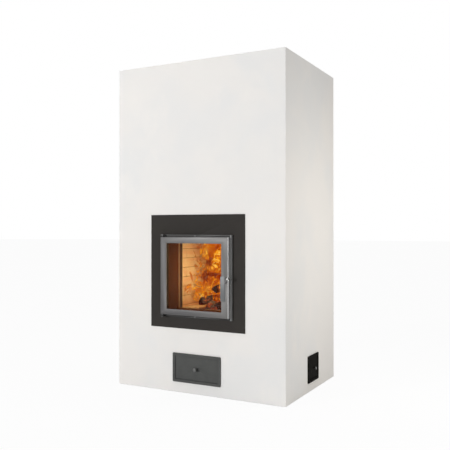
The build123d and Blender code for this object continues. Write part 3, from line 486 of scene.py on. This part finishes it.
def flame_finish(name, shift, left_edge, solid):
    """Curled bright threads over darker orange, clear where there is no flame.

    shift picks another part of the pattern, left_edge is where the flames begin, and solid fills
    the clear gaps between them.
    """
    bottom, top = FLAME_SPAN
    f = Finish(name)
    across, _, height = f.axes()
    lean = f.place(scale=(1.0, 1.0, 0.78), turn=(0, 0.30, 0), centre=shift)
    patches = f.noise(8.0, 2.0, 0.5, 1.0, vector=lean).spread(0.38, 0.62)
    licks = f.noise(13.0, 2.0, 0.45, 3.2, vector=lean)
    threads = (licks - 0.5).absolute().spread(0.0, 0.050, 1.0, 0.0)
    curls = f.noise(26.0, 2.0, 0.5, 2.6, vector=lean)
    edges = (curls - 0.5).absolute().spread(0.0, 0.045, 1.0, 0.0)
    top_right = (across * 1.1 + height).spread(0.56, 0.80)
    heat = patches * 0.34 + licks.spread(0.42, 0.60) * 0.18 + top_right * 0.40 - 0.12
    heat = heat + threads * (patches * 0.46 + 0.14) + edges * patches * 0.34
    edge = across - (height - FIREBOX_FLOOR) * 0.19 - left_edge + (licks - 0.5) * 0.16
    body = edge.above(0.0, 0.015) * height.below(top - 0.019, 0.017) * height.above(bottom, 0.045)
    alpha = (heat * 2.4 - 0.30 + solid).smaller(1.0).larger(0.0) * body
    return f.surface(
        Base_Color=(0.0, 0.0, 0.0),
        Roughness=1.0,
        Specular_IOR_Level=0.0,
        Emission_Color=f.ramp(heat, FLAME_STOPS),
        Emission_Strength=1.0,
        Alpha=alpha,
    )


MATERIALS = {
    "plaster": plaster_finish(),
    "block": mineral_finish("building_block", (0.30, 0.29, 0.27), (0.46, 0.44, 0.41), 160.0, 90.0),
    "concrete": mineral_finish("cast_concrete", (0.27, 0.265, 0.25), (0.40, 0.39, 0.37), 220.0, 120.0),
    "refractory": mineral_finish("cast_refractory", (0.36, 0.24, 0.16), (0.52, 0.38, 0.26), 260.0, 140.0),
    "firebrick": firebrick_finish(),
    "joint": joint_finish(),
    "ashy": mineral_finish("ash_dusted_brick", (0.74, 0.62, 0.42), (0.88, 0.78, 0.56), 150.0, 110.0),
    "storage": mineral_finish("storage_stone", (0.13, 0.10, 0.085), (0.22, 0.17, 0.14), 240.0, 130.0),
    "felt": felt_finish("ceramic_felt", (0.55, 0.50, 0.43), (0.80, 0.76, 0.68)),
    "scorched": felt_finish("scorched_felt", (0.26, 0.14, 0.085), (0.46, 0.29, 0.19)),
    "wool": felt_finish("mineral_wool", (0.35, 0.32, 0.14), (0.58, 0.54, 0.28), 90.0),
    "black": painted_steel_finish(
        "black_heatproof_paint", (0.026, 0.0225, 0.020), (0.033, 0.029, 0.0255), 0.7, shine=0.2
    ),
    "dark": painted_steel_finish(
        "charcoal_casting", (0.056, 0.058, 0.056), (0.072, 0.074, 0.071), 0.6, 500.0, 0.5, 0.25
    ),
    "dark_knob": painted_steel_finish(
        "turned_charcoal_knob", (0.060, 0.062, 0.060), (0.085, 0.087, 0.084), 0.30, 500.0, 0.3, 0.7
    ),
    "black_knob": painted_steel_finish(
        "turned_black_knob", (0.016, 0.015, 0.014), (0.024, 0.023, 0.021), 0.20, 500.0, 0.2, 1.0
    ),
    # Near-black paint of the soot hatches; the glass retainers and their screws get it as painted shade.
    "hatch_black_and_shade": painted_steel_finish(
        "hatch_black", (0.006, 0.0055, 0.0045), (0.009, 0.0085, 0.007), 0.75, 500.0, 0.5, 0.05
    ),
    "grey": painted_steel_finish("grey_metallic_paint", (0.100, 0.098, 0.098), (0.125, 0.123, 0.123), 0.42),
    "frame": frame_finish(),
    "leaf": leaf_finish(),
    "plate": painted_steel_finish("latch_plate_paint", (0.115, 0.120, 0.124), (0.140, 0.145, 0.149), 0.36),
    "sooty": sooty_finish(),
    "iron": cast_iron_finish(),
    "collar": collar_finish(),
    "bright": bare_metal_finish("polished_steel", (0.85, 0.85, 0.84), 0.13, scale=500.0),
    "zinc": bare_metal_finish("zinc_plate", (0.56, 0.56, 0.55), 0.34),
    "sheet": bare_metal_finish("bare_sheet", (0.40, 0.40, 0.40), 0.42, brush=(1, 14, 14)),
    "rope": rope_finish(),
    "glass": glass_finish(),
    "log": charred_finish(),
    "embers": ember_finish(),
}

NODE_MATERIALS = {
    "concrete": ["base_slab", "top_slab"],
    "block": ["flue_block"] + [name for name in NODES if name.startswith("shell_course")],
    "plaster": ["plaster_coat"],
    "wool": ["top_insulation"],
    "felt": ["expansion_felt", "flue_seal"],
    "scorched": ["collar_seal"],
    "refractory": [
        "core_back_wall", "left_channel_liner", "right_channel_liner", "core_ceiling", "hearth_piers",
        "ash_floor_slab", "hearth_slab", "throat_slabs", "left_hatch_plug", "right_hatch_plug",
    ],
    "firebrick": [
        "firebox_left_wall", "firebox_right_wall", "firebox_back_wall", "upper_chamber_walls",
    ],
    "ashy": ["firebox_floor"],
    "storage": ["storage_blocks"],
    "iron": ["grate"],
    "collar": ["door_collar"],
    "black": ["surround_plate"],
    "dark": ["ash_frame", "ash_drawer_front"],
    "dark_knob": ["ash_drawer_knob"],
    "black_knob": ["right_hatch_knob", "left_hatch_knob"],
    # The glass retainers and their screws are painted near black as painted shade along the edge of the
    # glass.
    "hatch_black_and_shade": [
        "right_hatch_frame", "right_hatch_cover", "left_hatch_frame", "left_hatch_cover",
        "glass_retainers", "retainer_screws",
    ],
    "frame": ["door_frame"],
    "leaf": ["door_leaf"],
    "grey": ["latch_lever", "frame_screws", "hinge_pins"],
    "plate": ["latch_plate"],
    "bright": ["latch_knob"],
    "sooty": ["core_front_wall"],
    "zinc": ["latch_keeper", "ash_drawer_nut"],
    "sheet": ["ash_drawer_box", "flue_collar"],
    "glass": ["door_glass"],
    "rope": ["glass_tape", "door_rope_seal"],
}


def paint(piece, material):
    piece.data.materials.clear()
    piece.data.materials.append(material)


for key, names in NODE_MATERIALS.items():
    for name in names:
        paint(NODES[name], MATERIALS[key])


# Modelling helpers

MERGE_DISTANCE = 0.00002
FLAT_ANGLE = 0.5


def activate(piece):
    bpy.ops.object.select_all(action="DESELECT")
    piece.select_set(True)
    bpy.context.view_layer.objects.active = piece


def settle(piece):
    """Put the object's place, turn and size into its mesh."""
    activate(piece)
    bpy.ops.object.transform_apply(location=True, rotation=True, scale=True)


def apply_all(piece):
    activate(piece)
    for modifier in list(piece.modifiers):
        bpy.ops.object.modifier_apply(modifier=modifier.name)


def recalculate(piece):
    activate(piece)
    bpy.ops.object.mode_set(mode="EDIT")
    bpy.ops.mesh.select_all(action="SELECT")
    bpy.ops.mesh.normals_make_consistent(inside=False)
    bpy.ops.object.mode_set(mode="OBJECT")


def rounded(piece, width, segments=2, angle=30):
    """Round the edges that are sharper than an angle in degrees."""
    bevel = piece.modifiers.new("edges", "BEVEL")
    bevel.width = width
    bevel.segments = segments
    bevel.limit_method = "ANGLE"
    bevel.angle_limit = math.radians(angle)
    apply_all(piece)
    bpy.ops.object.shade_smooth_by_angle(angle=math.radians(angle))


def rename(piece, name):
    piece.name = name
    piece.data.name = name
    return piece


def join(pieces, name):
    activate(pieces[0])
    for piece in pieces:
        piece.select_set(True)
    bpy.ops.object.join()
    return rename(pieces[0], name)


def softened_copy(node, name, width, segments=2):
    """A merged copy of a CAD node with rounded edges, which takes the node's place."""
    source = NODES[node]
    piece = source.copy()
    piece.data = source.data.copy()
    bpy.context.collection.objects.link(piece)
    rename(piece, name)
    activate(piece)
    bpy.ops.object.mode_set(mode="EDIT")
    bpy.ops.mesh.select_all(action="SELECT")
    bpy.ops.mesh.remove_doubles(threshold=MERGE_DISTANCE)
    bpy.ops.mesh.dissolve_limited(angle_limit=math.radians(FLAT_ANGLE))
    bpy.ops.object.mode_set(mode="OBJECT")
    rounded(piece, width, segments)
    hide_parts(node)
    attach(piece, body_of(node))


def body_of(node):
    """The body that a CAD node rides on."""
    for body, names in frame["record"]["behaviour"]["bodies"].items():
        if node in names:
            return body
    return FIXED_BODY


def soft_block(low, high, radius):
    """A block between two corners with rounded edges."""
    bpy.ops.mesh.primitive_cube_add(size=1.0, location=(Vector(low) + Vector(high)) / 2)
    piece = bpy.context.object
    piece.scale = Vector(high) - Vector(low)
    settle(piece)
    rounded(piece, radius)
    return piece


# Firebricks with open joints and mortar

BRICK_COURSES = 11
BRICK_SHARE = 0.64
JOINT = 0.0012
BRICK_ROUND = 0.0022
MORTAR_BACK = 0.0030


def brick_wall(node, name, along, across):
    """Bricks of a firebox wall in running bond, standing a little proud of their mortar.

    along is the axis that the courses run along, across the axis of the wall's thickness.
    """
    low, high = (Vector(corner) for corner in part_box(node))
    step = (high.z - low.z) / BRICK_COURSES
    bricks = []
    for course in range(BRICK_COURSES):
        share = BRICK_SHARE if course % 2 else 1 - BRICK_SHARE
        split = low[along] + (high[along] - low[along]) * share
        for start, end in ((low[along], split), (split, high[along])):
            brick_low = low.copy()
            brick_high = high.copy()
            brick_low[along] = start + JOINT
            brick_high[along] = end - JOINT
            brick_low.z = low.z + step * course + JOINT
            brick_high.z = low.z + step * (course + 1) - JOINT
            bricks.append(soft_block(brick_low, brick_high, BRICK_ROUND))
    wall = join(bricks, name)
    paint(wall, MATERIALS["firebrick"])
    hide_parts(node)
    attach(wall, FIXED_BODY)

    inner_low = low.copy()
    inner_high = high.copy()
    for axis in (along, across, 2):
        inner_low[axis] += MORTAR_BACK
        inner_high[axis] -= MORTAR_BACK
    mortar = rename(soft_block(inner_low, inner_high, JOINT), name + "_mortar")
    paint(mortar, MATERIALS["joint"])
    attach(mortar, FIXED_BODY)


brick_wall("firebox_left_wall", "left_wall_bricks", 1, 0)
brick_wall("firebox_right_wall", "right_wall_bricks", 1, 0)
brick_wall("firebox_back_wall", "back_wall_bricks", 0, 1)


# Metalwork with rounded edges

for node, name, width in (
    ("door_frame", "door_frame_casting", 0.0009),
    ("door_leaf", "door_leaf_casting", 0.0007),
    ("latch_plate", "latch_plate_cover", 0.0005),
    ("latch_lever", "latch_lever_bar", 0.0006),
    ("surround_plate", "surround_sheet", 0.0005),
    ("ash_drawer_front", "ash_drawer_plate", 0.0006),
    ("right_hatch_cover", "right_hatch_plate", 0.0006),
    ("left_hatch_cover", "left_hatch_plate", 0.0006),
):
    softened_copy(node, name, width)
softened_copy("door_rope_seal", "door_rope", 0.0020, 4)


# Fire: split logs, embers and flames in the firebox, not part of the heater

FLAME_CUTS = 23
FLAME_WAVE = 0.014
FLAME_WAVES = 42.0
LOG_SIDES = 16
LOG_CUTS = 7
LOG_SWELL = (0.93, 1.08)
LOG_WANDER = 0.002
LOG_SPLIT = 0.25
LOG_ROUND = 0.07
LOG_TURNS = ((0.2, 0.6), (2.0, 2.5))
EMBER_PLACE = (0.0, (GRATE_LOW.y + GRATE_HIGH.y) / 2, GRATE_HIGH.z + 0.0003)
EMBER_SIZE = (0.190, 0.165, 0.080)
EMBER_SEGMENTS = 40
EMBER_RINGS = 20
EMBER_MERGE = 0.0001
EMBER_LUMPS = 60
EMBER_SPREAD = 0.4
EMBER_REACH = (0.012, 0.022)
EMBER_HEIGHT = (0.003, 0.009)
EMBER_FOOT = 0.002


def flame_sheet(name, low_x, high_x, y, phase, material):
    """An upright wavy sheet on which the flames show."""
    bottom, top = FLAME_SPAN
    bpy.ops.object.select_all(action="DESELECT")
    middle = ((low_x + high_x) / 2, y, (bottom + top) / 2)
    bpy.ops.mesh.primitive_plane_add(size=1.0, location=middle, rotation=(math.radians(90), 0, 0))
    sheet = bpy.context.object
    sheet.scale = (high_x - low_x, top - bottom, 1)
    settle(sheet)
    bpy.ops.object.mode_set(mode="EDIT")
    bpy.ops.mesh.select_all(action="SELECT")
    bpy.ops.mesh.subdivide(number_cuts=FLAME_CUTS)
    bpy.ops.object.mode_set(mode="OBJECT")
    step = (high_x - low_x) / (FLAME_CUTS + 1)
    for column in range(FLAME_CUTS + 2):
        at = low_x + step * column
        pull_column(sheet, at, step / 4, FLAME_WAVE * math.sin(phase + FLAME_WAVES * at))
    rename(sheet, name)
    activate(sheet)
    bpy.ops.object.shade_smooth()
    paint(sheet, material)
    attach(sheet, FIRE_BODY)


def pull_column(sheet, at, reach, distance):
    """Move one column of the sheet's points forwards or backwards."""
    activate(sheet)
    bpy.ops.object.mode_set(mode="EDIT")
    bpy.ops.mesh.select_all(action="DESELECT")
    bpy.ops.object.mode_set(mode="OBJECT")
    for point in sheet.data.vertices:
        point.select = abs(point.co.x - at) < reach
    bpy.ops.object.mode_set(mode="EDIT")
    bpy.ops.transform.translate(value=(0, distance, 0))
    bpy.ops.object.mode_set(mode="OBJECT")


def split_log(name, length, radius, seed):
    """A quarter-split log along Y: a lumpy cylinder cut by two planes."""
    chance = random.Random(seed)
    bpy.ops.object.select_all(action="DESELECT")
    bpy.ops.mesh.primitive_cylinder_add(
        vertices=LOG_SIDES, radius=radius, depth=length, rotation=(math.radians(90), 0, 0)
    )
    log = rename(bpy.context.object, name)
    settle(log)
    bpy.ops.object.mode_set(mode="EDIT")
    for cut in range(1, LOG_CUTS):
        bpy.ops.mesh.select_all(action="SELECT")
        at = length * (cut / LOG_CUTS - 0.5)
        bpy.ops.mesh.bisect(plane_co=(0, at, 0), plane_no=(0, 1, 0))
        swell = chance.uniform(*LOG_SWELL)
        bpy.ops.transform.resize(value=(swell, 1, swell), center_override=(0, at, 0))
        sideways = chance.uniform(-LOG_WANDER, LOG_WANDER)
        upwards = chance.uniform(-LOG_WANDER, LOG_WANDER)
        bpy.ops.transform.translate(value=(sideways, 0, upwards))
    for turns in LOG_TURNS:
        turn = chance.uniform(*turns)
        bpy.ops.mesh.select_all(action="SELECT")
        bpy.ops.mesh.bisect(
            plane_co=(0, 0, -radius * LOG_SPLIT),
            plane_no=(math.sin(turn), 0, -math.cos(turn)),
            use_fill=True,
            clear_outer=True,
        )
    bpy.ops.object.mode_set(mode="OBJECT")
    rounded(log, radius * LOG_ROUND, angle=40)
    recalculate(log)
    return log


def lay_log(name, low_end, high_end, radius, roll, seed):
    """Lay a split log between two points, whose heights count from the top of the grate."""
    lift = Vector((0, 0, GRATE_HIGH.z))
    start = Vector(low_end) + lift
    end = Vector(high_end) + lift
    log = split_log(name, (end - start).length, radius, seed)
    towards = (end - start).to_track_quat("Y", "Z").to_matrix().to_4x4()
    log.matrix_world = Matrix.Translation((start + end) / 2) @ towards @ Matrix.Rotation(roll, 4, "Y")
    settle(log)
    paint(log, MATERIALS["log"])
    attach(log, FIRE_BODY)


def ember_mound(name, middle, size, seed):
    """A low lumpy mound resting on the grate."""
    chance = random.Random(seed)
    bpy.ops.object.select_all(action="DESELECT")
    bpy.ops.mesh.primitive_uv_sphere_add(
        segments=EMBER_SEGMENTS, ring_count=EMBER_RINGS, radius=0.5, location=middle
    )
    mound = rename(bpy.context.object, name)
    mound.scale = size
    settle(mound)
    bpy.ops.object.mode_set(mode="EDIT")
    bpy.ops.mesh.select_all(action="SELECT")
    bpy.ops.mesh.bisect(plane_co=middle, plane_no=(0, 0, 1), use_fill=True, clear_inner=True)
    bpy.ops.mesh.select_all(action="SELECT")
    bpy.ops.mesh.remove_doubles(threshold=EMBER_MERGE)
    bpy.ops.object.mode_set(mode="OBJECT")
    for _ in range(EMBER_LUMPS):
        x = middle[0] + chance.uniform(-EMBER_SPREAD, EMBER_SPREAD) * size[0]
        y = middle[1] + chance.uniform(-EMBER_SPREAD, EMBER_SPREAD) * size[1]
        reach = chance.uniform(*EMBER_REACH)
        height = chance.uniform(*EMBER_HEIGHT)
        lift_lump(mound, x, y, reach, height, middle[2] + EMBER_FOOT)
    paint(mound, MATERIALS["embers"])
    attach(mound, FIRE_BODY)


def lift_lump(mound, x, y, reach, height, foot):
    """Raise the mound's points around one spot, but not those at its foot."""
    activate(mound)
    bpy.ops.object.mode_set(mode="EDIT")
    bpy.ops.mesh.select_all(action="DESELECT")
    bpy.ops.object.mode_set(mode="OBJECT")
    for point in mound.data.vertices:
        away = math.hypot(point.co.x - x, point.co.y - y)
        point.select = away < reach and point.co.z > foot
    bpy.ops.object.mode_set(mode="EDIT")
    bpy.ops.transform.translate(value=(0, 0, height))
    bpy.ops.object.mode_set(mode="OBJECT")


ember_mound("embers", EMBER_PLACE, EMBER_SIZE, seed=4)
for name, low_end, high_end, radius, roll, seed in (
    ("log_left", (-0.060, -0.175, 0.052), (-0.045, 0.030, 0.058), 0.040, 0.4, 11),
    ("log_right", (0.055, -0.180, 0.055), (0.050, 0.028, 0.060), 0.043, -0.5, 12),
    ("log_top", (0.020, -0.170, 0.115), (-0.010, 0.020, 0.120), 0.040, 0.9, 13),
):
    lay_log(name, low_end, high_end, radius, roll, seed)
for name, low_x, high_x, y, phase, shift, left_edge, solid in (
    ("flames_front", -0.206, 0.190, -0.135, 0.3, (1.3, 0.2, 3.1), -0.190, 0.0),
    ("flames_middle", -0.205, 0.200, -0.060, 1.7, (4.2, 1.9, 0.4), -0.215, 0.0),
    ("flames_back", -0.205, 0.205, 0.020, 3.2, (0.7, 5.1, 2.2), -0.225, 0.9),
):
    flame_sheet(name, low_x, high_x, y, phase, flame_finish(name, shift, left_edge, solid))


# Camera, from the photograph's perspective

CAMERA_PLACE = (1.6817, -3.1996, 0.8659)
CAMERA_TILT = 90.284
CAMERA_TURN = 28.078
CAMERA_LENS = 50.70
CAMERA_SENSOR = 36.0
CAMERA_REACH = 50.0


def add_camera():
    data = bpy.data.cameras.new("camera")
    data.lens = CAMERA_LENS
    data.sensor_width = CAMERA_SENSOR
    data.clip_end = CAMERA_REACH
    camera = bpy.data.objects.new("camera", data)
    camera.location = CAMERA_PLACE
    camera.rotation_euler = Euler((math.radians(CAMERA_TILT), 0.0, math.radians(CAMERA_TURN)))
    bpy.context.collection.objects.link(camera)
    bpy.context.scene.camera = camera


# Stage: pale floor, white surroundings, soft lamps

FLOOR_SIZE = 80.0
FLOOR_WHITE = 0.93
WORLD_LIGHT = 0.165
SIDE_LIGHT = (1.0, 0.96, 0.89)
FIRE_LIGHT = (1.0, 0.80, 0.46)


def floor_finish():
    """Pale floor that shows white to the camera and keeps the object's shadow."""
    f = Finish("pale_floor")
    mottle = f.noise(3.0, 3.0, 0.5)
    colour = f.mix((0.74, 0.74, 0.74), (0.78, 0.78, 0.78), mottle)
    matt = f.node("ShaderNodeBsdfDiffuse", None, {"Color": colour})
    white = f.node("ShaderNodeEmission", None, {"Color": (1.0, 1.0, 1.0), "Strength": 1.0})
    rays = f.node("ShaderNodeLightPath").socket.node.outputs
    seen = Value(f, rays["Is Camera Ray"]).larger(Value(f, rays["Is Glossy Ray"]))
    seen = seen.larger(Value(f, rays["Is Transmission Ray"]))
    return f.close(f.node("ShaderNodeMixShader", None, {0: seen * FLOOR_WHITE, 1: matt, 2: white}))


def add_floor():
    bpy.ops.mesh.primitive_plane_add(size=FLOOR_SIZE)
    floor = rename(bpy.context.object, "floor")
    paint(floor, floor_finish())


def add_world():
    """White to the camera, much softer as a light and in reflections."""
    f = Finish("studio", bpy.data.worlds.new("studio"))
    sky = f.node("ShaderNodeBackground", None, {"Color": (1.0, 0.995, 0.985), "Strength": WORLD_LIGHT})
    white = f.node("ShaderNodeBackground", None, {"Color": (1.0, 1.0, 1.0), "Strength": 1.0})
    seen = f.node("ShaderNodeLightPath", output="Is Camera Ray")
    bpy.context.scene.world = f.close(f.node("ShaderNodeMixShader", None, {0: seen, 1: sky, 2: white}))


def add_lamp(name, place, aim, size, power, colour=(1.0, 1.0, 1.0), size_y=None):
    """A rectangular lamp that points from its place at its aim."""
    data = bpy.data.lights.new(name, "AREA")
    data.shape = "RECTANGLE"
    data.size = size
    data.size_y = size_y or size
    data.energy = power
    data.color = colour
    lamp = bpy.data.objects.new(name, data)
    lamp.location = place
    lamp.rotation_euler = (Vector(aim) - Vector(place)).to_track_quat("-Z", "Y").to_euler()
    bpy.context.collection.objects.link(lamp)
    return lamp


def add_sun(name, strength, spread):
    """Even light from straight above, as wide as an angle in degrees."""
    data = bpy.data.lights.new(name, "SUN")
    data.energy = strength
    data.angle = math.radians(spread)
    bpy.context.collection.objects.link(bpy.data.objects.new(name, data))


add_camera()
add_floor()
add_world()
add_lamp("key_lamp", (-4.0, -8.0, 1.9), (0.0, 0.0, 0.85), size=1.2, power=405.0)
add_lamp("side_lamp", (1.70, 0.12, 0.92), (0.5, 0.1, 0.92), size=0.5, power=6.8, colour=SIDE_LIGHT)
add_lamp("edge_lamp", (2.4, -1.6, 0.9), (0.2, -0.4, 0.7), size=0.25, size_y=1.5, power=6.0)
fire_lamp = add_lamp(
    "fire_lamp",
    (0.0, -0.15, 0.60),
    (-0.2, -0.08, 0.62),
    size=0.12,
    size_y=0.24,
    power=0.66,
    colour=FIRE_LIGHT,
)
fire_lamp.visible_camera = False
add_sun("overhead_sun", 1.7, 50.0)
bpy.context.scene.view_settings.view_transform = "Standard"
